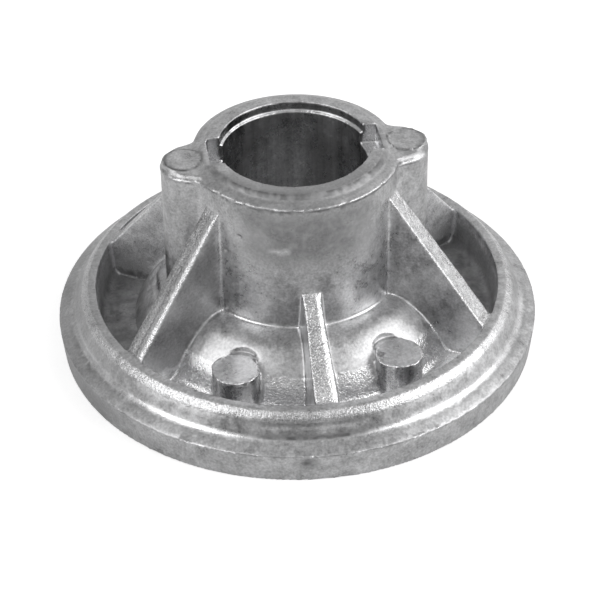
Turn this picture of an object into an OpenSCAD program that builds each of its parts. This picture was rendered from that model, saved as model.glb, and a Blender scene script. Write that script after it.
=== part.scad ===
// Mower blade adapter: a die cast hub that joins a rotary mower's blade to its engine shaft.
// The origin is the centre of the flat underside, and +Z runs up along the bore.
// The two ears of the hub lie on the X axis, and the front of the part faces -Y.
// All lengths are in millimetres, and all angles are in degrees.

/* [Bore] */
// Diameter of the bore for the engine shaft
bore_d = 22.3; // [18:0.1:23.2]
// Width of the ledge where the bore widens at its mouth
mouth_ledge = 0.45; // [0.2:0.05:0.8]
// Depth of the wider mouth below the top of the collar
mouth_depth = 1.6; // [0.8:0.1:3]

/* [Hub] */
// Height of the adapter, from its underside to the top of the collar
adapter_h = 35; // [32:0.5:42]
// Diameter of the hub's wall just under the collar
hub_top_d = 31.5; // [30.4:0.1:31.8]
// Diameter of the hub's wall where it meets the dome
hub_foot_d = 32; // [31.8:0.1:33]
// Radius in the corner between the hub and the dome
hub_foot_r = 0.6; // [0.2:0.1:1]

/* [Collar] */
// Width of the flat shoulder between the hub's wall and the collar
shoulder_w = 1.35; // [0.8:0.05:1.6]
// Fall of that shoulder
shoulder_fall = 0.75; // [0.3:0.05:1]
// Width of the steep band round the collar's flat top
band_w = 1; // [0.5:0.05:1.1]
// Fall of that band
band_fall = 0.75; // [0.3:0.05:1]

/* [Slot across the collar] */
// Width of the slot
slot_w = 6.9; // [5:0.1:8]
// Length of the slot, from the end in one ear to the end in the other
slot_l = 26.4; // [25.4:0.1:28]
// Depth of the slot at the left ear
slot_left_depth = 4.4; // [3:0.1:6]
// Depth of the slot at the right ear
slot_right_depth = 3.5; // [3:0.1:6]

/* [Ears] */
// Span over the tips of the two ears
ear_span = 40; // [38:0.1:43]
// Radius of an ear's round end
ear_r = 4.95; // [4.4:0.05:5.6]
// Radius of the hollow where an ear flows into the hub
ear_hollow_r = 4; // [2.5:0.1:6]
// Drop from the top of the collar to the flat top of an ear
ear_drop = 1.3; // [0.8:0.1:2.2]
// Bevel round an ear's top
ear_bevel = 0.8; // [0.3:0.1:1.2]
// Diameter of the ejector pin's mark on an ear
pin_mark_d = 5.5; // [3:0.1:6]
// Distance from an ear's tip to the middle of that mark
pin_mark_in = 2.95; // [2.8:0.05:4]
// Height of that mark above the ear's top
pin_mark_h = 0.2; // [0.1:0.05:0.4]

/* [Flange] */
// Diameter of the flange at the parting line, its widest place
flange_d = 75.4; // [72.6:0.1:80]
// Height of the parting line above the underside
parting_h = 4.85; // [4:0.05:5.2]
// Taper of the flange's edge from the parting line down to the underside
edge_taper = 0.5; // [0.1:0.05:1]
// Thickness of the plate under the dish
plate_t = 3.65; // [2.5:0.05:4.5]

/* [Rim] */
// Height of the rim above the underside
rim_h = 9.8; // [8.8:0.1:12]
// Diameter inside the rim at its top
rim_in_d = 63.2; // [62:0.1:63.8]
// Width of the rim's flat top
rim_flat_w = 1.2; // [0.6:0.1:1.6]
// Width of the rough shoulder outside the flat top
rim_shoulder_w = 1.05; // [0.6:0.05:1.2]
// Fall of that shoulder
rim_shoulder_fall = 0.76; // [0.4:0.02:1]
// Radius of that shoulder
rim_shoulder_r = 5; // [2:0.5:8]
// Diameter at the groove where the rim stands on the flange
rim_groove_d = 70.4; // [69.8:0.1:71]
// Height of that groove
rim_groove_h = 6.17; // [5.6:0.05:6.6]
// Radius in that groove
rim_groove_r = 1.2; // [0.4:0.1:2]
// Lean of the rim's inner wall
rim_lean = 6; // [2:0.5:9]
// Radius in the corner between the dish and the rim
dish_corner_r = 1.3; // [0.5:0.1:2]

/* [Dome round the hub] */
// Height of the dome at the hub
dome_h = 12; // [11:0.1:14]
// Diameter of the dome's crown, where its top would end in a sharp edge
crown_d = 36.6; // [35.6:0.1:38]
// Radius of the crown
crown_r = 6.5; // [3:0.5:7]
// Diameter of the dome's flank, half way down
flank_d = 45.2; // [44:0.1:46.4]
// Height of the flank at that diameter
flank_h = 9.1; // [8.5:0.1:9.5]
// Radius of the flank
flank_r = 12; // [6:0.5:13]
// Diameter where the dome's foot would meet the dish in a sharp corner
toe_d = 51.4; // [49.5:0.1:53]
// Radius in that corner
toe_r = 2; // [1:0.1:3]

/* [Ribs] */
// Direction of the two tall front ribs, down from the X axis
front_rib_turn = 30; // [26:0.5:36]
// Direction of the two tall back ribs, up from the X axis
back_rib_turn = 30; // [24:0.5:36]
// Drop from the top of the collar to the top of a front tall rib, at the hub
front_rib_drop = 5.7; // [3:0.1:9]
// Drop from the top of the collar to the top of a back tall rib, at the hub
back_rib_drop = 6.7; // [3:0.1:9]
// Width of a tall rib's top at the hub
tall_rib_w = 3.1; // [2:0.1:4]
// Draft on the sides of a tall rib, which widens it downwards
tall_rib_draft = 1; // [0.5:0.1:2.5]
// Height of a low rib's top at the hub
low_rib_h = 18.3; // [15:0.1:26]
// Width of a low rib's top, all along it
low_rib_w = 2.8; // [2:0.1:4]
// Draft on the sides of a low rib, down from its top
low_rib_draft = 5.4; // [1:0.1:7]
// Drop from the rim's top to the end of every rib's top
rib_end_drop = 0.5; // [0:0.05:1]

/* [Posts] */
// Distance from the bore's axis to the middle of a post
post_out = 24.9; // [24:0.1:26]
// Direction of a post, to each side of the front rib
post_turn = 30; // [26:0.5:34]
// Diameter of a post at its top
post_d = 7; // [5:0.1:8]
// Draft on the side of a post
post_draft = 1.5; // [0:0.1:3]
// Diameter of the pocket that clears the dome at the top of a post
pocket_d = 7.8; // [6.6:0.1:8.4]
// Offset of that pocket from the post, towards the hub
pocket_in = 0.6; // [0:0.1:1]
// Drop from the post's top to the pocket's floor
pocket_drop = 0.15; // [0:0.05:0.5]

/* [Hidden] */
$fn = 96;

// Largest turn between two points of a round stretch in an outline
arc_step = 9;
// Overlap that makes joined shapes one solid, and cuts clear of a face
joint_lap = 0.5;

// Radii that the shapes below share
bore_r = bore_d / 2;
mouth_r = bore_r + mouth_ledge;
hub_top_r = hub_top_d / 2;
hub_wall_r = hub_foot_d / 2;
hub_wall_mid_r = (bore_r + hub_top_r) / 2;
rim_in_r = rim_in_d / 2;
flange_r = flange_d / 2;

// Heights that the shapes below share
shoulder_top_h = adapter_h - band_fall;
hub_wall_h = shoulder_top_h - shoulder_fall;
ear_top_h = adapter_h - ear_drop;
ear_wall_h = ear_top_h - ear_bevel;
rib_end_h = rim_h - rib_end_drop;

// An ear's round end, and the hollow that is tangent to it and to the hub
ear_x = ear_span / 2 - ear_r;
hollow_to_axis = hub_top_r + ear_hollow_r;
hollow_to_ear = ear_r + ear_hollow_r;
hollow_x = (pow(hollow_to_axis, 2) - pow(hollow_to_ear, 2) + pow(ear_x, 2)) / (2 * ear_x);
hollow_y = sqrt(pow(hollow_to_axis, 2) - pow(hollow_x, 2));

// Outlines are lists of corners [x, y, radius], and these functions round them
function span(a, b) = norm([b.x - a.x, b.y - a.y]);
function heading(a, b) = atan2(b.y - a.y, b.x - a.x);
function turn(a, b, c) = (heading(b, c) - heading(a, b) + 540) % 360 - 180;
function reach(a, b, c) = b.z * tan(abs(turn(a, b, c)) / 2);
function along(p, angle, d) = [p.x + d * cos(angle), p.y + d * sin(angle)];

// Part of a corner's radius that its two sides have room for
function room(side, wanted) = wanted > side ? side / wanted : 1;

// Points of one rounded corner
function corner(a, b, c, fit) =
    let (
        bend = turn(a, b, c),
        side = sign(bend),
        r = b.z * fit,
        start = along(b, heading(b, a), reach(a, b, c) * fit),
        centre = along(start, heading(a, b) + 90 * side, r),
        steps = ceil(abs(bend) / arc_step)
    )
    r == 0 ? [[b.x, b.y]]
    : [for (i = [0:steps]) along(centre, heading(a, b) - 90 * side + bend * i / steps, r)];

// Points of a closed outline with all its corners rounded
function rounded(p) =
    let (
        n = len(p),
        cut = [for (i = [0:n - 1]) reach(p[(i + n - 1) % n], p[i], p[(i + 1) % n])],
        fit = [for (i = [0:n - 1]) room(span(p[i], p[(i + 1) % n]), cut[i] + cut[(i + 1) % n])]
    )
    [for (i = [0:n - 1])
        each corner(p[(i + n - 1) % n], p[i], p[(i + 1) % n], min(fit[i], fit[(i + n - 1) % n]))];

// Half of the casting's section, from the underside round the rim, dome, hub and collar
function casting_outline() = [
    [0, 0, 0],
    [flange_r - edge_taper, 0, 0],
    [flange_r, parting_h, 0],
    [rim_groove_d / 2, rim_groove_h, rim_groove_r],
    [rim_in_r + rim_flat_w + rim_shoulder_w, rim_h - rim_shoulder_fall, rim_shoulder_r],
    [rim_in_r + rim_flat_w, rim_h, 0],
    [rim_in_r, rim_h, 0],
    [rim_in_r - (rim_h - plate_t) * tan(rim_lean), plate_t, dish_corner_r],
    [toe_d / 2, plate_t, toe_r],
    [flank_d / 2, flank_h, flank_r],
    [crown_d / 2, dome_h, crown_r],
    [hub_wall_r, dome_h, hub_foot_r],
    [hub_top_r, hub_wall_h, 0],
    [hub_top_r - shoulder_w, shoulder_top_h, 0],
    [hub_top_r - shoulder_w - band_w, adapter_h, 0],
    [0, adapter_h, 0],
];

// The turned form of the casting, still solid: flange, rim, dish, dome, hub and collar
module turned_form() {
    rotate_extrude() polygon(rounded(casting_outline()));
}

// A length of one ear, on the +X side, whose outline is drawn in by an inset
module ear_length(h, inset) {
    difference() {
        union() {
            translate([ear_x, 0, 0]) cylinder(h = h, r1 = ear_r, r2 = ear_r - inset);
            linear_extrude(h) polygon([
                [hub_wall_mid_r, 0],
                [hub_wall_mid_r, hollow_y * hub_wall_mid_r / hollow_x],
                [hollow_x, hollow_y],
                [ear_x, 0],
                [hollow_x, -hollow_y],
                [hub_wall_mid_r, -hollow_y * hub_wall_mid_r / hollow_x],
            ]);
        }
        for (side = [-1, 1])
            translate([hollow_x, side * hollow_y, 0])
                cylinder(h = h, r1 = ear_hollow_r, r2 = ear_hollow_r + inset);
    }
}

// One ear: a straight lug from the plate up, with a bevelled top and the ejector pin's mark
module ear() {
    translate([0, 0, plate_t / 2]) ear_length(ear_wall_h - plate_t / 2, 0);
    translate([0, 0, ear_wall_h]) ear_length(ear_bevel, ear_bevel);
    translate([ear_span / 2 - pin_mark_in, 0, ear_wall_h])
        cylinder(h = ear_bevel + pin_mark_h, d = pin_mark_d);
}

// Slope of a rib's straight top, from the hub down to the rim
function rib_fall(hub_h) = atan2(hub_h - rib_end_h, rim_in_r - hub_wall_r);

// One rib on the +X side: its top is w wide at the hub, and stays so along the slope hold
module rib(hub_h, w, draft, hold) {
    depth = hub_h * cos(hold);
    foot_w = w + 2 * depth * tan(draft);
    root_x = hub_wall_mid_r;
    end_x = rim_in_r + rim_flat_w / 2;
    fall = tan(rib_fall(hub_h));
    intersection() {
        translate([0, foot_w, 0]) rotate([90, 0, 0]) linear_extrude(2 * foot_w) polygon([
            [root_x, plate_t / 2],
            [end_x, plate_t / 2],
            [end_x, hub_h - (end_x - hub_wall_r) * fall],
            [hub_wall_r, hub_h],
            [root_x, hub_h],
        ]);
        translate([hub_wall_r, 0, hub_h]) rotate([0, hold - 90, 0])
            translate([0, 0, -flange_d]) linear_extrude(2 * flange_d) polygon([
                [0, w / 2],
                [0, -w / 2],
                [-depth, -foot_w / 2],
                [-depth, foot_w / 2],
            ]);
    }
}

// The six ribs: two tall ones at each side, and a low one at the front and at the back
module ribs() {
    for (side = [0, 1]) mirror([side, 0, 0]) {
        rotate([0, 0, -front_rib_turn]) rib(adapter_h - front_rib_drop, tall_rib_w, tall_rib_draft, 0);
        rotate([0, 0, back_rib_turn]) rib(adapter_h - back_rib_drop, tall_rib_w, tall_rib_draft, 0);
    }
    for (angle = [-90, 90])
        rotate([0, 0, angle]) rib(low_rib_h, low_rib_w, low_rib_draft, rib_fall(low_rib_h));
}

// Places its children at the two posts, to each side of the front rib
module at_posts() {
    for (side = [-1, 1])
        rotate([0, 0, side * post_turn - 90]) translate([post_out, 0, 0]) children();
}

// One post, from the plate up to the height of the rim
module post() {
    post_h = rim_h - plate_t / 2;
    translate([0, 0, plate_t / 2])
        cylinder(h = post_h, r1 = post_d / 2 + post_h * tan(post_draft), r2 = post_d / 2);
}

// The bore through the hub, and its wider mouth
module bore() {
    translate([0, 0, -joint_lap]) cylinder(h = adapter_h + 2 * joint_lap, r = bore_r);
    translate([0, 0, adapter_h - mouth_depth]) cylinder(h = mouth_depth + joint_lap, r = mouth_r);
}

// The slot across the collar, deeper at the left ear than at the right one
module slot() {
    for (cut = [[-slot_l / 2, slot_left_depth], [0, slot_right_depth]])
        translate([cut[0], -slot_w / 2, adapter_h - cut[1]])
            cube([slot_l / 2, slot_w, cut[1] + joint_lap]);
}

// The whole casting
module blade_adapter() {
    color("silver") difference() {
        union() {
            difference() {
                turned_form();
                at_posts() translate([-pocket_in, 0, rim_h - pocket_drop])
                    cylinder(h = dome_h, d = pocket_d);
            }
            for (angle = [0, 180]) rotate([0, 0, angle]) ear();
            ribs();
            at_posts() post();
        }
        bore();
        slot();
    }
}

blade_adapter();
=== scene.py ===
import math

import bmesh
import bpy
import numpy as np
from mathutils import Matrix, Vector
from mathutils.bvhtree import BVHTree
from mathutils.kdtree import KDTree


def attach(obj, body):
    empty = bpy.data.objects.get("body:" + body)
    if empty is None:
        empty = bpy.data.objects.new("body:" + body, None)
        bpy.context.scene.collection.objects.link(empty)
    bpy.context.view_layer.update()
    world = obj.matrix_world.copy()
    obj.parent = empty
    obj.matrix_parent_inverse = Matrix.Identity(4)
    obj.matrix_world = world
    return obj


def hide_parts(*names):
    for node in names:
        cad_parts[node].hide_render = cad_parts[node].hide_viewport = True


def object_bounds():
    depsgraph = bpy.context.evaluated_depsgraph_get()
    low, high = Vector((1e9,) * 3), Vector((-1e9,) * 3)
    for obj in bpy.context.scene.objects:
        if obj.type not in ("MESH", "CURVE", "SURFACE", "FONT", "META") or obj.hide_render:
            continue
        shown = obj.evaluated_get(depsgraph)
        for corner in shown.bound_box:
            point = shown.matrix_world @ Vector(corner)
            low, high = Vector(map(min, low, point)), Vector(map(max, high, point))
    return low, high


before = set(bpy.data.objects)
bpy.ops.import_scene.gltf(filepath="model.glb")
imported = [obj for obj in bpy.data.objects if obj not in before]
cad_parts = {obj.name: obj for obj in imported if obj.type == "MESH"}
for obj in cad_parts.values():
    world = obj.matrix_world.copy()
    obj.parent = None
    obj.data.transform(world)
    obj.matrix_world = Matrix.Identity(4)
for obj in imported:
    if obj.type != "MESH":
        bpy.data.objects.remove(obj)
cad_box = [list(corner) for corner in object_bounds()]


# Camera
# It looks down at the front of the adapter, from 372 mm away, with a long lens.
# The lens, the shift and the small roll are those that fit the photograph.
MM = 0.001
camera_place = Vector((-40.2, -290.4, 228.9)) * MM
camera_turn = 7.877
camera_dip = 37.258
camera_roll = 0.856
camera_lens = 141.35
camera_sensor = 36
camera_shift = (-0.0023, 0.0008)

camera = bpy.data.objects.new("camera", bpy.data.cameras.new("camera"))
bpy.context.scene.collection.objects.link(camera)
camera.data.lens = camera_lens
camera.data.sensor_width = camera_sensor
camera.data.shift_x, camera.data.shift_y = camera_shift
camera.matrix_world = (
    Matrix.Translation(camera_place)
    @ Matrix.Rotation(math.radians(-camera_turn), 4, "Z")
    @ Matrix.Rotation(math.radians(90 - camera_dip), 4, "X")
    @ Matrix.Rotation(math.radians(-camera_roll), 4, "Z")
)
bpy.context.scene.camera = camera


# Cast aluminium
# The whole part is one die casting in bare grey aluminium: satin, and mottled by the
# die's spray. It sparkles where the die is rough, and is streaked where a core drew.
class Value:
    def __init__(self, tree, socket):
        self.tree = tree
        self.socket = socket

    def maths(self, operation, first, second=0.0):
        return self.tree.get("ShaderNodeMath", {"operation": operation}, {0: first, 1: second})

    def __add__(self, other):
        return self.maths("ADD", self, other)

    def __radd__(self, other):
        return self.maths("ADD", other, self)

    def __sub__(self, other):
        return self.maths("SUBTRACT", self, other)

    def __rsub__(self, other):
        return self.maths("SUBTRACT", other, self)

    def __mul__(self, other):
        return self.maths("MULTIPLY", self, other)

    def __rmul__(self, other):
        return self.maths("MULTIPLY", other, self)

    def __pow__(self, other):
        return self.maths("POWER", self, other)


class NodeTree:
    def __init__(self, tree):
        self.tree = tree
        self.tree.nodes.clear()

    def node(self, kind, settings=None, inputs=None):
        node = self.tree.nodes.new(kind)
        for name, value in (settings or {}).items():
            setattr(node, name, value)
        for name, value in (inputs or {}).items():
            if isinstance(value, Value):
                self.tree.links.new(value.socket, node.inputs[name])
            else:
                node.inputs[name].default_value = value
        return node

    def get(self, kind, settings=None, inputs=None, output=0):
        return Value(self, self.node(kind, settings, inputs).outputs[output])

    def noise(self, place, per_metre, detail=2.0, rough=0.5):
        return self.get("ShaderNodeTexNoise", None,
                        {"Vector": place, "Scale": per_metre, "Detail": detail, "Roughness": rough})

    def step(self, value, low, high):
        return self.get("ShaderNodeMapRange", {"interpolation_type": "SMOOTHSTEP"},
                        {"Value": value, "From Min": low, "From Max": high})


metal_skin = bpy.data.materials.new("cast_aluminium")
metal_skin.use_nodes = True
metal = NodeTree(metal_skin.node_tree)
place = metal.get("ShaderNodeTexCoord", None, None, "Object")


def painted(name):
    return metal.get("ShaderNodeAttribute", {"attribute_name": name}, None, "Fac")


grain = painted("grain")
drawn = painted("drawn")
# This share darkens the tone: some dirt, but mostly painted shade in creases, grooves, bays and the bore.
dirt_and_painted_shade = painted("dirt_and_painted_shade")
# This share lightens and smooths the metal: some edge wear and scuffs, but mostly painted highlights and
# painted light.
wear_and_painted_light = painted("wear_and_painted_light")
matt = painted("matt")

cloud = metal.noise(place, 200, 4, 0.6)
mottle = metal.noise(place, 650, 4, 0.62)
speck = metal.noise(place, 2600, 2, 0.6)
grit = metal.noise(place, 5200, 1)
lay = metal.get("ShaderNodeAttribute", {"attribute_name": "lay"}, None, "Vector")
streak = metal.noise(lay, 750, 3, 0.6)

tone = 0.56 + 0.45 * (cloud - 0.5) + 0.60 * (mottle - 0.5) + 0.40 * (speck - 0.5)
tone = tone + 0.80 * drawn * (streak - 0.5) + 0.80 * grain * (grit - 0.45)
# Painted shade darkens the tone in patches; painted light lifts it.
tone = tone * (1 - 0.75 * dirt_and_painted_shade * (0.35 + 0.65 * metal.step(mottle, 0.34, 0.58))) + 0.28 * wear_and_painted_light
tint = metal.get("ShaderNodeCombineColor", None, {"Red": tone, "Green": tone, "Blue": tone * 1.01})

gloss = 0.36 + 0.25 * (cloud - 0.5) + 0.40 * (mottle - 0.5) - 0.08 * drawn
gloss = gloss - 0.12 * wear_and_painted_light + 0.20 * dirt_and_painted_shade + 0.30 * matt

height = 0.020 * mottle + 0.012 * speck + 0.04 * drawn * streak + grain * (0.06 * speck + 0.04 * grit)
bump = metal.get("ShaderNodeBump", None, {"Height": height, "Strength": 1.0, "Distance": MM})
shader = metal.get("ShaderNodeBsdfPrincipled", None,
                   {"Base Color": tint, "Metallic": 1.0, "Roughness": gloss, "Normal": bump})
metal.node("ShaderNodeOutputMaterial", None, {"Surface": shader})


# The casting's solid
# One piece of die cast aluminium: flange, rim, dish, ribs, dome, posts, hub and ears.
# Its true surface is the solid's own; here it is only joined up into one closed skin.
def show(piece):
    bpy.context.scene.collection.objects.link(piece)
    return piece


def settle(piece):
    depsgraph = bpy.context.evaluated_depsgraph_get()
    mesh = bpy.data.meshes.new_from_object(piece.evaluated_get(depsgraph))
    piece.modifiers.clear()
    loose = piece.data
    piece.data = mesh
    bpy.data.meshes.remove(loose)
    return piece


solid = bmesh.new()
solid.from_mesh(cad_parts["blade_adapter"].data)
bmesh.ops.remove_doubles(solid, verts=solid.verts, dist=0.002 * MM)
solid_faces = BVHTree.FromBMesh(solid)


# Flash
# Thin ragged ridges of metal, squeezed between the halves of the die and round the
# ejector pins. They are part of the casting, and are fused with its skin below.
class GeometryTree(NodeTree):
    def __init__(self, name, sizes):
        super().__init__(bpy.data.node_groups.new(name, "GeometryNodeTree"))
        sockets = {"Geometry": "NodeSocketGeometry", "Metal": "NodeSocketMaterial"}
        sockets.update({size: "NodeSocketFloat" for size in sizes})
        self.names = {}
        for title, kind in sockets.items():
            socket = self.tree.interface.new_socket(name=title, in_out="INPUT", socket_type=kind)
            self.names[title] = socket.identifier
        self.tree.interface.new_socket(name="Geometry", in_out="OUTPUT",
                                       socket_type="NodeSocketGeometry")
        self.entry = self.node("NodeGroupInput")

    def input(self, title):
        return Value(self, self.entry.outputs[title])

    def close(self, geometry):
        whole = self.get("GeometryNodeRealizeInstances", None, {"Geometry": geometry})
        clad = self.get("GeometryNodeSetMaterial", None,
                        {"Geometry": whole, "Material": self.input("Metal")})
        self.node("NodeGroupOutput", None, {"Geometry": clad})

    def put_on(self, piece, **values):
        modifier = piece.modifiers.new(self.tree.name, "NODES")
        modifier.node_group = self.tree
        for title, value in values.items():
            modifier[self.names[title.replace("_", " ")]] = value


ragged = GeometryTree("ragged_ridge", ["Half width", "Break", "Wander", "Shift"])
course = ragged.get("GeometryNodeMeshToCurve", None, {"Mesh": ragged.input("Geometry")})
course = ragged.get("GeometryNodeResampleCurve", {"mode": "LENGTH"}, {"Curve": course, "Length": 0.18 * MM})
spot = ragged.get("ShaderNodeVectorMath", None,
                  {0: ragged.get("GeometryNodeInputPosition"),
                   1: ragged.get("ShaderNodeCombineXYZ", None, {"X": ragged.input("Shift")})})
beat = ragged.noise(spot, 420, 3, 0.65)
fray = ragged.get("ShaderNodeTexNoise", None, {"Vector": spot, "Scale": 1500}, "Color")
sway = ragged.get("ShaderNodeVectorMath", {"operation": "SUBTRACT"}, {0: fray, 1: (0.5, 0.5, 0.5)})
sway = ragged.get("ShaderNodeVectorMath", {"operation": "SCALE"},
                  {"Vector": sway, "Scale": ragged.input("Wander")})
course = ragged.get("GeometryNodeSetPosition", None, {"Geometry": course, "Offset": sway})
full = ragged.step(beat, ragged.input("Break"), ragged.input("Break") + 0.12)
profile = ragged.get("GeometryNodeCurvePrimitiveCircle", None, {"Resolution": 8, "Radius": 1.0})
ridge = ragged.get("GeometryNodeCurveToMesh", None,
                   {"Curve": course, "Profile Curve": profile, "Fill Caps": True,
                    "Scale": ragged.input("Half width") * (0.12 + 0.88 * full)})
ragged.close(ridge)


flash_course = []


def flash(points, half_width, gap, wander, shift, closed=True):
    path = bpy.data.meshes.new("flash")
    last = len(points) - 1
    edges = [(i, i + 1) for i in range(last)] + ([(last, 0)] if closed else [])
    path.from_pydata([Vector(point) * MM for point in points], edges, [])
    piece = show(bpy.data.objects.new("flash", path))
    ragged.put_on(piece, Half_width=half_width * MM, Break=gap, Wander=wander * MM,
                  Shift=shift, Metal=metal_skin)
    settle(piece)
    solid.from_mesh(piece.data)
    mesh = piece.data
    flash_course.extend(vertex.co / MM for vertex in mesh.vertices)
    bpy.data.objects.remove(piece)
    bpy.data.meshes.remove(mesh)


def circle(middle, radius, height, start=0, end=360, step=3):
    turns = range(start, end, step)
    return [(middle[0] + radius * math.cos(math.radians(turn)),
             middle[1] + radius * math.sin(math.radians(turn)), height) for turn in turns]


def outline(height_at, start, end, step=1.5):
    points = []
    turn = start
    while turn <= end:
        a = math.radians(turn)
        out = Vector((math.cos(a), math.sin(a), 0))
        height = height_at(turn)
        hit = solid_faces.ray_cast(Vector((0, 0, height * MM)) + out * 0.06, -out)[0]
        points.append(tuple(hit / MM))
        turn += step
    return points


def collar_height(turn):
    off = abs((turn + 90) % 360 - 90)
    off = min(off, abs(180 - off))
    ear = min(1, max(0, (34 - off) / 12))
    right_tip = 1 if abs((turn + 180) % 360 - 180) < 90 else 0.2
    drop = min(1, max(0, (24 - off) / 24)) ** 2
    return 33.48 - 0.5 * ear - 1.2 * drop * right_tip


ear_middle = 17.05
ear_disc = 2.75
ear_disc_top = 33.9
flash(outline(collar_height, -182, 4), 0.17, 0.40, 0.12, 1.0, closed=False)
flash(outline(collar_height, 4, 178), 0.11, 0.60, 0.05, 1.5, closed=False)
flash(outline(collar_height, -42, -8), 0.24, 0.30, 0.12, 4.0, closed=False)
flash(outline(collar_height, -170, -146), 0.24, 0.42, 0.15, 2.0, closed=False)
flash(circle((0, 0), 37.68, 4.85), 0.11, 0.56, 0.10, 3.0)
for start, end in ((230, 238), (247, 249), (251, 255), (263, 270), (275, 277), (289, 297)):
    flash(circle((0, 0), 37.62, 4.85, start, end, 1), 0.19, 0.42, 0.16, 3.5, closed=False)
flash(circle((0, 0), 13.42, 34.97), 0.12, 0.60, 0.10, 5.0)
flash(circle((0, 0), 14.42, 34.25), 0.12, 0.60, 0.10, 6.0)
flash(circle((-ear_middle, 0), ear_disc, ear_disc_top), 0.13, 0.50, 0.15, 7.0)
flash(circle((ear_middle, 0), ear_disc, ear_disc_top), 0.16, 0.42, 0.30, 8.0)
post_middles = [(-12.45, -21.56), (12.45, -21.56)]
post_top = 9.8
for number, middle in enumerate(post_middles):
    flash(circle(middle, 3.5, post_top - 0.1), 0.22, 0.40, 0.42, 9.0 + number)


# The casting's skin
# The die gives every edge a small radius and the metal an uneven, pitted surface. The
# tops of the ribs and the shoulder of the rim come from rougher parts of the die.
def grid_noise(points, size, seed):
    cells = 32
    knots = np.random.default_rng(seed).random((cells, cells, cells))
    at = points / size
    low = np.floor(at).astype(int)
    part = at - low
    part = part * part * (3 - 2 * part)
    total = 0
    for corner in np.ndindex(2, 2, 2):
        weight = np.prod(np.where(corner, part, 1 - part), axis=1)
        index = (low + corner) % cells
        total = total + weight * knots[index[:, 0], index[:, 1], index[:, 2]]
    return total


def ramp(value, low, high):
    part = np.clip((value - low) / (high - low), 0, 1)
    return part * part * (3 - 2 * part)


def band(value, low, high, soft):
    return ramp(value, low - soft, low + soft) * (1 - ramp(value, high - soft, high + soft))


def points_of(piece):
    flat = np.empty(len(piece.data.vertices) * 3)
    piece.data.vertices.foreach_get("co", flat)
    return flat.reshape(-1, 3) / MM


def normals_of(piece):
    flat = np.empty(len(piece.data.vertices) * 3)
    piece.data.vertex_normals.foreach_get("vector", flat)
    return flat.reshape(-1, 3)


def paint(piece, name, amount):
    layer = piece.data.attributes.get(name) or piece.data.attributes.new(name, "FLOAT", "POINT")
    layer.data.foreach_set("value", amount.astype(np.float32))


def paint_way(piece, name, ways):
    layer = piece.data.attributes.new(name, "FLOAT_VECTOR", "POINT")
    layer.data.foreach_set("vector", (ways * MM).astype(np.float32).ravel())


hub_wall = 16.0
rib_end = (31.6, 9.3)
trimmed = {-30: 0.35, -150: 0.9, 30: 0.5, 150: 0.5, -90: 0.4, 90: 0.4}
ribs = {-30: (29.3, 1.9), -150: (29.3, 1.9), 30: (28.3, 1.9), 150: (28.3, 1.9),
        -90: (18.3, 1.5), 90: (18.3, 1.5)}


def rib_tops(points):
    x, y, z = points.T
    amount = np.zeros(len(points))
    for turn, (top, half) in ribs.items():
        a = math.radians(turn)
        along = x * math.cos(a) + y * math.sin(a)
        aside = abs(y * math.cos(a) - x * math.sin(a))
        height = top - (along - hub_wall) * (top - rib_end[1]) / (rib_end[0] - hub_wall)
        inside = band(along, hub_wall, 32.2, 0.2) * (1 - ramp(aside, half, half + 0.4))
        amount = np.maximum(amount, inside * (1 - ramp(abs(z - height), 0.3, 0.6)))
    return amount


def rib_ways(points, ways, drawn):
    x, y, z = points.T
    tops = rib_tops(points) > 0.5
    for number, turn in enumerate(ribs):
        a = math.radians(turn)
        along = x * math.cos(a) + y * math.sin(a)
        aside = y * math.cos(a) - x * math.sin(a)
        here = tops & (along > hub_wall) & (abs(aside) < 2.2)
        ways[here, 0] = 2.2 * aside[here] + 10 * number
        ways[here, 1] = 0
        ways[here, 2] = 0.05 * along[here]
        drawn[here] = trimmed[turn]


def rough_places(points):
    x, y, z = points.T
    r = np.hypot(x, y)
    shoulder = band(r, 32.9, 33.95, 0.15) * (z > 8.3)
    return np.maximum(rib_tops(points), shoulder)


casting = show(bpy.data.objects.new("casting", bpy.data.meshes.new("casting")))
solid.to_mesh(casting.data)
solid.free()
remesh = casting.modifiers.new("skin", "REMESH")
remesh.mode = "VOXEL"
remesh.voxel_size = 0.2 * MM
edges = casting.modifiers.new("edges", "SMOOTH")
edges.factor = 0.5
edges.iterations = 3
settle(casting)

paint(casting, "grain", rough_places(points_of(casting)))
cast = GeometryTree("cast_skin", ["Swell", "Dimple", "Grain"])
where = cast.get("GeometryNodeInputPosition")
rough = cast.get("GeometryNodeInputNamedAttribute", {"data_type": "FLOAT"}, {"Name": "grain"})
lift = cast.input("Swell") * (cast.noise(where, 160, 2) - 0.5)
lift = lift + cast.input("Dimple") * (cast.noise(where, 800, 2) - 0.5)
lift = lift + cast.input("Grain") * rough * (cast.noise(where, 1900, 1) - 0.5)
offset = cast.get("ShaderNodeVectorMath", {"operation": "SCALE"},
                  {"Vector": cast.get("GeometryNodeInputNormal"), "Scale": lift})
cast.close(cast.get("GeometryNodeSetPosition", None,
                    {"Geometry": cast.input("Geometry"), "Offset": offset}))
cast.put_on(casting, Swell=0.07 * MM, Dimple=0.05 * MM, Grain=0.12 * MM, Metal=metal_skin)
settle(casting)



toe = (25.7, 3.65)
toe_slope = (9.1 - 3.65) / (25.7 - 22.6)


bevels = {-150: (0.9, 0.36), -90: (0.6, 0.48)}


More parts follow.
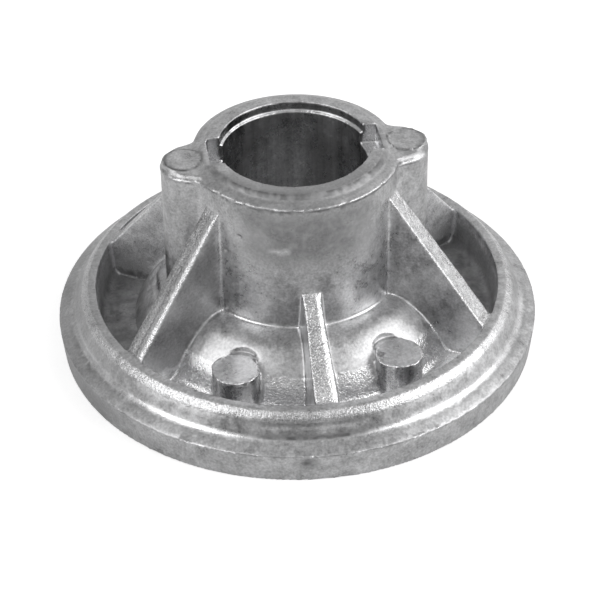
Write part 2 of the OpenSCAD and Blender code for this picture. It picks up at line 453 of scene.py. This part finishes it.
def filled_out(points):
    x, y, z = points.T
    r = np.hypot(x, y)
    out = points / np.maximum(r, 1)[:, None] * [1, 1, 0]
    ear = ramp(abs(x), 14.5, 17.5) * (1 - ramp(abs(x), 21, 22)) * (1 - ramp(abs(y), 5.2, 6.4))
    ear *= ramp(z, 5, 12)
    back = ramp(y, 3, 12) * band(r, 13.7, 17, 0.5) * ramp(z, 24, 33.2)
    middle_front = (1 - ramp(abs(x + 3), 4, 12)) * (y < 0)
    cove = band(r, 33.6, 35.6, 0.15) * band(z, 7.6, 8.5, 0.3) * middle_front
    ledge = band(r, 14.1, 14.75, 0.2) * (z > 33.8) * (z < 34.6)
    bay = ramp(abs(x), 19, 21) * (1 - ramp(abs(y), 12, 14)) * (r < 27.2) * (r > 24.2)
    flank = toe[1] + (toe[0] - r) * toe_slope
    toe_corner = bay * (z < 6) * np.clip(z - np.maximum(flank, toe[1]), 0, 0.4)
    moved = points + np.sign(x)[:, None] * [0.5, 0, 0] * ear[:, None]
    moved += out * (0.4 * back - 0.14 * cove - 0.05 * ledge)[:, None]
    moved[:, 2] -= 0.08 * ledge + toe_corner
    slot_tip = (1 - ramp(abs(y), 2.9, 3.6)) * band(abs(x), 12.9, 14.4, 0.1)
    moved[:, 2] -= slot_tip * np.clip(z - 34.45, 0, 1)
    for turn, (top, half) in ribs.items():
        a = math.radians(turn)
        along = x * math.cos(a) + y * math.sin(a)
        across = y * math.cos(a) - x * math.sin(a)
        aside = abs(across)
        deep = top - (along - hub_wall) * (top - rib_end[1]) / (rib_end[0] - hub_wall) - z
        inside = band(along, hub_wall + 0.4, 31.4, 0.3) * (aside < half + 0.6)
        edge = np.clip((aside - half + 0.5) / 0.5, 0, 1.2)
        start, fall = bevels.get(turn, (0, 0))
        drop = 0.16 * edge ** 2 + fall * np.clip(across - start, 0, 1.3)
        moved[:, 2] -= drop * inside * (1 - ramp(deep, 0.2, 1.4)) * (deep > -0.6)
    widens = ramp(-y, 18, 31) * ramp(abs(x), 0.3, 1.3) * (1 - ramp(abs(x), 2.0, 3.8)) * (z > 2)
    moved[:, 0] += 0.45 * np.sign(x) * widens
    return moved


# Pits and dents, each a place, a width and a depth
dents = [
    ((-12.0, -10.35, 23.7), 0.38, 0.25),
    ((-10.2, -12.1, 27.2), 0.34, 0.22),
    ((-28.9, 2.5, 3.65), 0.32, 0.22),
    ((-27.9, 3.2, 3.65), 0.34, 0.22),
    ((-28.6, 1.4, 3.65), 0.30, 0.20),
]
points = points_of(casting)
normals = normals_of(casting)
for middle, width, depth in dents:
    away = ((points - middle) ** 2).sum(axis=1)
    points -= normals * (depth * np.exp(-away / width ** 2))[:, None]
points = filled_out(points)
low, high = (np.array(corner) / MM for corner in cad_box)
points = low + (points - points.min(axis=0)) * (high - low) / np.ptp(points, axis=0)
casting.data.vertices.foreach_set("co", (points * MM).ravel())
casting.data.update()

face_budget = 190000
triangles = sum(len(face.vertices) - 2 for face in casting.data.polygons)
thin = casting.modifiers.new("thin", "DECIMATE")
thin.ratio = min(1.0, face_budget / triangles)
settle(casting)
casting.data.polygons.foreach_set("use_smooth", [True] * len(casting.data.polygons))

# What the finish reads: grain, the marks of drawn cores, painted shade with some dirt, and wear with
# painted highlights and painted light
points = points_of(casting)
normals = normals_of(casting)
x, y, z = points.T
r = np.hypot(x, y)

sides = np.empty(len(casting.data.edges) * 2, dtype=np.int32)
casting.data.edges.foreach_get("vertices", sides)
sides = sides.reshape(-1, 2)


def spread(amount, times):
    for _ in range(times):
        total = amount.copy()
        count = np.ones(len(amount))
        for a, b in (sides.T, sides.T[::-1]):
            total += np.bincount(a, amount[b], len(amount))
            count += np.bincount(a, minlength=len(amount))
        amount = total / count
    return amount


gap = points[sides[:, 1]] - points[sides[:, 0]]
length = np.maximum(np.linalg.norm(gap, axis=1), 1e-6)
rise = np.zeros(len(points))
count = np.zeros(len(points))
for end, sign in ((0, 1), (1, -1)):
    slope = sign * (gap * normals[sides[:, end]]).sum(axis=1) / length ** 2
    rise += np.bincount(sides[:, end], slope, len(points))
    count += np.bincount(sides[:, end], minlength=len(points))
hollow = spread(rise / np.maximum(count, 1), 3)

off_posts = np.min([np.hypot(x - spot[0], y - spot[1]) for spot in post_middles], axis=0)
dish = band(r, 17.6, 33.0, 0.5) * ramp(-y - 0.577 * abs(x), 0.5, 2.5) * (normals[:, 2] > 0.3) * (z < 8) * (off_posts > 4.1)
left_back = math.radians(150)
beside = y * math.cos(left_back) - x * math.sin(left_back)
rough_rib = band(beside, 1.6, 2.6, 0.2) * (x < -16) * (y > 2) * (z > 5)
right_back = math.radians(30)
beside = x * math.sin(right_back) - y * math.cos(right_back)
rough_rib = np.maximum(rough_rib, band(beside, 1.6, 2.6, 0.2) * (x > 16) * (y > 2) * (z > 5))
rough_rib = rough_rib * (1 - ramp(r, 31.2, 32.2))
notch = band(abs(x), 11.3, 13.2, 0.2) * (1 - ramp(abs(y), 3.5, 3.9)) * (z > 30.8)
notch = notch * (1 - ramp(normals[:, 2], 0.5, 0.9) * (z > 34.4))

course = KDTree(len(flash_course))
for number, place in enumerate(flash_course):
    course.insert(place, number)
course.balance()
off_course = np.array([course.find(point)[2] for point in points])
fine = grid_noise(points, 0.5, 4)
burr = (1 - ramp(off_course, 0.12, 0.4)) * ramp(-hollow, 0.15, 0.9) * ramp(fine, 0.25, 0.6)
coarse = np.max([0.7 * dish, 0.5 * rough_rib, 0.3 * notch, 0.8 * burr], axis=0)
paint(casting, "grain", np.maximum(rough_places(points), coarse))

bore = (1 - ramp(r, 11.7, 11.9)) * (z < 34.8)
posts = (1 - ramp(off_posts, 3.8, 4.0)) * (z < post_top - 0.25)
drawn_by = np.maximum(bore, posts)
lays = points * [1, 1, 0.07]
rib_ways(points, lays, drawn_by)
paint(casting, "drawn", drawn_by)
paint_way(casting, "lay", lays)

blotch = grid_noise(points, 1.6, 3)
# Painted shade: darker in creases and hollow corners, but not along the hub's foot at the front.
corners = ramp(hollow, 0.25, 1.1)
dirt_and_painted_shade = 0.55 * corners * (1 - band(r, 15.2, 18.5, 0.3) * band(z, 8.5, 28.5, 0.5) * (y < 0))
# Painted shade: a dark, broken ring round the edge of each ejector-pin disc on the ears.
for side in (-1, 1):
    ring = band(np.hypot(x - side * ear_middle, y), ear_disc - 0.05, ear_disc + 0.30, 0.12)
    dirt_and_painted_shade = np.maximum(dirt_and_painted_shade, ring * (z > 33.3) * ramp(blotch, 0.30, 0.60))
# Painted shade at the front of the rim: under its shoulder, and deep in the groove at the foot of its wall.
wall_top = band(z, 7.9, 8.75, 0.2) * (r > 33.8)
middle_front = 1 - ramp(abs(x + 3), 5, 12)
dirt_and_painted_shade = np.maximum(dirt_and_painted_shade, 0.45 * wall_top * (y < 0) * middle_front)
groove = band(r, 34.95, 35.35, 0.15) * (z > 5.5) * (z < 7.0)
dirt_and_painted_shade = np.maximum(dirt_and_painted_shade, 1.0 * groove * middle_front)
# Painted shadow: a broken dark line just under the collar's flash.
under_collar = band(z, 33.0, 33.35, 0.08) * (r < 16.4) * (r > 15.2)
dirt_and_painted_shade = np.maximum(dirt_and_painted_shade, 0.8 * under_collar * ramp(blotch, 0.15, 0.45))
# Painted shade in each pit and dent.
for middle, width, depth in dents:
    away = ((points - middle) ** 2).sum(axis=1)
    dirt_and_painted_shade = np.maximum(dirt_and_painted_shade, np.exp(-away / (1.1 * width) ** 2))
parting = band(z, 4.72, 4.92, 0.06) * (r > 37.3) * ramp(blotch, 0.2, 0.5)
dirt_and_painted_shade = np.maximum(dirt_and_painted_shade, 0.7 * parting)
smudge = np.exp(-((x + 3.8) ** 2 + (z - 3.6) ** 2) / 1.5) * (y < -30)
dirt_and_painted_shade = np.maximum(dirt_and_painted_shade, 1.0 * smudge * (0.6 + 0.4 * ramp(fine, 0.2, 0.5)))
# Painted shade on the floors of the side bays, in patches.
bays = band(r, 24, 31.4, 0.6) * (z < 8) * (abs(y) < 0.577 * abs(x) - 1.5)
dirt_and_painted_shade = np.maximum(dirt_and_painted_shade, 0.62 * bays * (0.7 + 0.3 * ramp(blotch, 0.3, 0.7)))
side_bays = band(r, 17.5, 31.8, 0.5) * (z < 9) * (abs(y) < 0.577 * abs(x) - 1.5)
# Along the creases in the side bays most of the painted shade is taken back; painted light is laid on them
# further down.
seams = ramp(hollow, 0.3, 0.9) * band(r, 25, 32.3, 0.3) * (z < 9.5) * (z > 3.8) * (abs(y) < 0.577 * abs(x))
dirt_and_painted_shade = dirt_and_painted_shade * (1 - 0.8 * seams)
paint(casting, "matt", np.maximum(rough_rib, 0.8 * side_bays) * (1 - seams))
# Painted shade deep in the bore, in patches drawn out along it.
deep = bore * (0.5 * ramp(grid_noise(points * [1, 1, 0.4], 3.2, 5), 0.35, 0.65))
dirt_and_painted_shade = np.maximum(dirt_and_painted_shade, deep)
# Painted shade, darkening places that catch too much light: the hub's front under the collar, the collar's
# top and brow, the left of the rim and flange, the band under the rim's fillet, the left front rib's top
# and side, and the right ear's bevel. A scuff on the hub is spared.
shade_paint = 0.60 * band(z, 24, 33, 2.5) * (y < 0) * (r < 16.5) * (1 - ramp(abs(x), 8, 12))
shade_paint += 0.35 * (z > 34.8) * ramp(-y, 5, 10) + (0.25 * band(z, 33.4, 34.25, 0.1) + 0.75 * band(z, 34.25, 34.85, 0.1)) * ramp(-y, 2, 6) * (r < 15.6)
shade_paint += 0.16 * band(r, 13.1, 13.8, 0.15) * (z > 34.4) * ramp(-y, 1, 5) * (abs(y) > 3.6)
shade_paint += 0.30 * (r > 35.8) * ramp(-x, 28, 33) + 0.22 * band(r, 31.5, 35.6, 0.2) * ramp(-x, 24, 30)
shade_paint += 0.40 * band(r, 35.75, 36.3, 0.15) * (z > 4.9) * ramp(abs(x + 3), 5, 12) * ramp(-y, 0, 9)
shade_paint += 0.5 * rib_tops(points) * (x < -10) * (y < 0)
shade_paint += 0.55 * ramp(x, 15, 17) * ramp(-y, 0, 2) * band(z, 32.6, 33.7, 0.15) * (normals[:, 2] > 0.3) * ramp(off_course, 0.3, 0.5)
scuff = ramp(x, -7.2, -4.5) * (1 - ramp(x, -3.6, -2.9)) * (y < 0)
scuff = scuff * band(z - 0.1 * x, 26.3 - 0.25 * ramp(x, -7, -4), 26.9, 0.3)
shade_paint = shade_paint * (1 - 0.8 * scuff)
left_front = math.radians(-150)
ahead = y * math.cos(left_front) - x * math.sin(left_front)
shade_paint += 0.35 * band(ahead, 1.5, 2.6, 0.2) * (x < -10) * (y < -4) * (z > 6) * (r > 16.8) * (r < 31)
dirt_and_painted_shade = np.maximum(dirt_and_painted_shade, shade_paint)
paint(casting, "dirt_and_painted_shade", np.clip(dirt_and_painted_shade, 0, 1))

# Lighter, smoother places: edge wear and a scuff on the hub, and painted light. There are painted
# highlights along the hub's foot and the flash, and painted light on the front dish, in the bore, in the
# slot's notches, on the hub's front, on the post tops, on the rim's fillet and shoulder at the front, on
# strips of the rib tops, on the back ribs' sides, in the bay creases and on the left of the dome.
edge = ramp(-hollow, 0.6, 1.8)
foot = ramp(hollow, 0.2, 0.6) * band(r, 15.2, 18.5, 0.3) * band(z, 8.5, 28.5, 0.5) * (y < 0)
wear_and_painted_light = 0.8 * foot + 0.6 * edge + burr + 0.5 * scuff + 1.0 * dish + 0.5 * bore + 0.7 * notch
wear_and_painted_light += 0.45 * (r < 16.5) * ramp(-y, 0, 4) * ramp(abs(x), 4, 9) * band(z, 10, 30, 2)
wear_and_painted_light += 0.25 * (off_posts < 3.3) * (z > 9.5)
wear_and_painted_light += 0.7 * band(r, 34.95, 35.7, 0.1) * (z < 6.9) * (z > 5.5) * ramp(-y, 0, 9) * ramp(abs(x + 3), 5, 12)
wear_and_painted_light += 0.5 * rough_places(points) * (z > 8) * (r > 32.9) * (0.4 + 0.6 * ramp(abs(x + 3), 6, 14))
tops = rib_tops(points)
for turn, start, end, share in ((-150, 0.95, 2.0, 1.0), (-90, -2.0, 2.0, 0.7), (-90, 0.6, 2.0, 0.6), (-30, -2.0, 2.0, 0.25)):
    a = math.radians(turn)
    aside = y * math.cos(a) - x * math.sin(a)
    near = x * math.cos(a) + y * math.sin(a) > hub_wall
    wear_and_painted_light += share * band(aside, start, end, 0.15) * tops * near
wear_and_painted_light += 0.9 * rough_rib + 0.8 * seams
wear_and_painted_light += 0.5 * band(r, 17.5, 24.5, 0.8) * (x < -15) * (abs(y) < 8) * (z < 9.5)
paint(casting, "wear_and_painted_light", np.clip(wear_and_painted_light, 0, 1))

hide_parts("blade_adapter")
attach(casting, "root")


# Floor
# A plain white sheet under the part. The camera and the metal both see it near white.
floor_skin = bpy.data.materials.new("floor_white")
floor_skin.use_nodes = True
floor = NodeTree(floor_skin.node_tree)
rays = floor.node("ShaderNodeLightPath")
camera_ray = Value(floor, rays.outputs["Is Camera Ray"])
mirror_ray = Value(floor, rays.outputs["Is Glossy Ray"]) + Value(floor, rays.outputs["Is Transmission Ray"])
lit = floor.get("ShaderNodeBsdfDiffuse", None, {"Color": (0.75, 0.75, 0.75, 1)})
glow = floor.get("ShaderNodeEmission", None,
                 {"Color": (1, 1, 1, 1), "Strength": 0.56 * camera_ray + 0.05 * mirror_ray})
sheet_skin = floor.get("ShaderNodeAddShader", None, {0: lit, 1: glow})
floor.node("ShaderNodeOutputMaterial", None, {"Surface": sheet_skin})

floor_half = 3.0
sheet = bpy.data.meshes.new("floor")
sheet.from_pydata([(-floor_half, -floor_half, 0), (floor_half, -floor_half, 0),
                   (floor_half, floor_half, 0), (-floor_half, floor_half, 0)], [], [(0, 1, 2, 3)])
ground = show(bpy.data.objects.new("floor", sheet))
ground.data.materials.append(floor_skin)
ground.location.z = -0.02 * MM


# Light
# A white tent, dim behind and below the camera, with a large soft box at each side.
tent = bpy.data.worlds.new("tent")
bpy.context.scene.world = tent
tent.use_nodes = True
sky = NodeTree(tent.node_tree)
rays = sky.node("ShaderNodeLightPath")
camera_ray = Value(sky, rays.outputs["Is Camera Ray"])
towards = sky.node("ShaderNodeSeparateXYZ", None,
                   {0: sky.get("ShaderNodeTexCoord", None, None, "Generated")})
east, north, up = (Value(sky, socket) for socket in towards.outputs)
front = -0.137 * east - 0.99 * north
low = sky.step(front, 0.45, 0.92) * (1 - sky.step(up, 0.2, 0.55))
tent_light = (0.58 + 0.22 * east) * (1 - 0.75 * low) * (1 - 0.28 * sky.step(up, 0.8, 0.97))
strength = camera_ray + (1 - camera_ray) * tent_light
backdrop = sky.get("ShaderNodeBackground", None, {"Color": (1, 1, 1, 1), "Strength": strength})
sky.node("ShaderNodeOutputWorld", None, {"Surface": backdrop})


def soft_box(name, spot, size, glow):
    data = bpy.data.lights.new(name, "AREA")
    data.shape = "RECTANGLE"
    data.size, data.size_y = size
    data.energy = glow * math.pi * data.size * data.size_y
    body = show(bpy.data.objects.new(name, data))
    body.location = spot
    body.rotation_euler = (-Vector(spot)).to_track_quat("-Z", "Y").to_euler()


soft_box("box_left", (-0.86, -0.36, 0.70), (0.70, 1.00), 1.85)
soft_box("box_right", (0.92, -0.34, 0.66), (1.00, 0.90), 1.9)

bpy.context.scene.view_settings.view_transform = "Standard"
